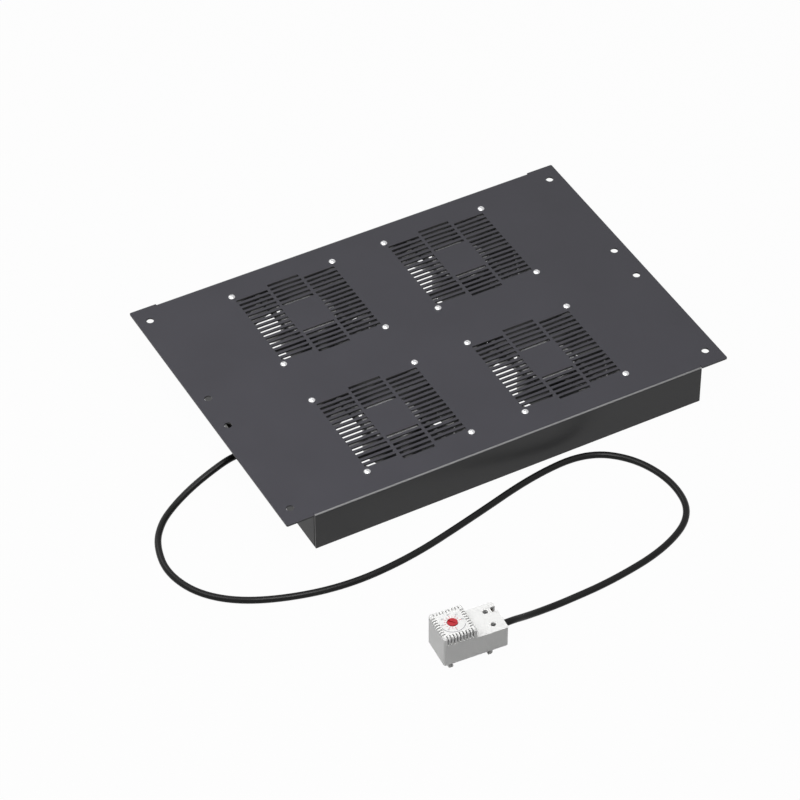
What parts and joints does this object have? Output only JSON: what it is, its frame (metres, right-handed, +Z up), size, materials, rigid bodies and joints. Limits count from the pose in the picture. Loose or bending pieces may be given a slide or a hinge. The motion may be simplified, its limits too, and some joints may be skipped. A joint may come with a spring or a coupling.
{
  "type": "rack fan tray",
  "caption": "Folded steel cooling tray with a slotted top plate, side flanges, axial fans beneath the slots, and a rail-clip thermostat on a sheathed cable.",
  "frame": {"origin": "centre of the plate's top face, which is also the centre of the flange hole pattern", "axes": "+X along the plate's long side, away from the gland and the power inlet; +Y to the back, away from the thermostat; +Z up, the way the air leaves"},
  "size_m": [0.5525, 0.5032, 0.0436],
  "materials": {
    "tray_steel": "fine grey powder coat",
    "cast_frame": "satin black paint on a casting",
    "blade_black": "satin",
    "zinc_steel": "bright zinc plate",
    "spring_steel": "ground",
    "stator_steel": "varnished laminations",
    "bronze": "sintered",
    "brass": "plain",
    "copper": "enamelled wire",
    "black_nylon": "moulded",
    "white_nylon": "moulded",
    "lead_pvc": "smooth",
    "cable_black": "satin sheath",
    "case_grey": "fine moulded",
    "dial_red": "moulded"
  },
  "bodies": {
    "tray": {"tray_plate": "tray_steel", "left_side_panel": "tray_steel", "right_side_panel": "tray_steel", "fan_screws": "zinc_steel", "gland_body": "black_nylon", "gland_dome_nut": "black_nylon", "gland_locknut": "black_nylon", "cable_sheath_end": "cable_black", "inlet_body": "black_nylon", "inlet_pins": "brass", "inlet_screws": "zinc_steel", "inlet_nuts": "zinc_steel", "terminal_block": "white_nylon", "weld_studs": "zinc_steel", "stud_nuts": "zinc_steel", "fan_leads": "lead_pvc", "inlet_leads": "lead_pvc", "thermostat_cores": "lead_pvc", "thermostat_case": "case_grey", "thermostat_base": "case_grey", "thermostat_carrier": "case_grey", "bimetal_strip": "spring_steel", "terminal_clamps": "brass", "terminal_screws": "zinc_steel", "thermostat_cable": "cable_black", "fan_1_frame": "cast_frame", "fan_1_bearing": "bronze", "fan_1_stator": "stator_steel", "fan_1_coils": "copper", "fan_2_frame": "cast_frame", "fan_2_bearing": "bronze", "fan_2_stator": "stator_steel", "fan_2_coils": "copper", "fan_3_frame": "cast_frame", "fan_3_bearing": "bronze", "fan_3_stator": "stator_steel", "fan_3_coils": "copper", "fan_4_frame": "cast_frame", "fan_4_bearing": "bronze", "fan_4_stator": "stator_steel", "fan_4_coils": "copper"},
    "fan_1_rotor": {"fan_1_impeller": "blade_black", "fan_1_shaft": "spring_steel"},
    "fan_2_rotor": {"fan_2_impeller": "blade_black", "fan_2_shaft": "spring_steel"},
    "fan_3_rotor": {"fan_3_impeller": "blade_black", "fan_3_shaft": "spring_steel"},
    "fan_4_rotor": {"fan_4_impeller": "blade_black", "fan_4_shaft": "spring_steel"},
    "dial": {"thermostat_dial": "dial_red", "dial_spindle": "brass"}
  },
  "joints": [
    {"name": "fan_1_spin", "type": "hinge", "parent": "tray", "child": "fan_1_rotor", "pos_m": [-0.08, -0.08, -0.02], "axis": [0, 0, 1], "continuous": true},
    {"name": "fan_2_spin", "type": "hinge", "parent": "tray", "child": "fan_2_rotor", "pos_m": [0.08, -0.08, -0.02], "axis": [0, 0, 1], "continuous": true},
    {"name": "fan_3_spin", "type": "hinge", "parent": "tray", "child": "fan_3_rotor", "pos_m": [-0.08, 0.08, -0.02], "axis": [0, 0, 1], "continuous": true},
    {"name": "fan_4_spin", "type": "hinge", "parent": "tray", "child": "fan_4_rotor", "pos_m": [0.08, 0.08, -0.02], "axis": [0, 0, 1], "continuous": true},
    {"name": "dial_turn", "type": "hinge", "parent": "tray", "child": "dial", "pos_m": [-0.15476, -0.32545, -0.0021], "axis": [0, 0, 1], "range_deg": [-135, 135]}
  ]
}
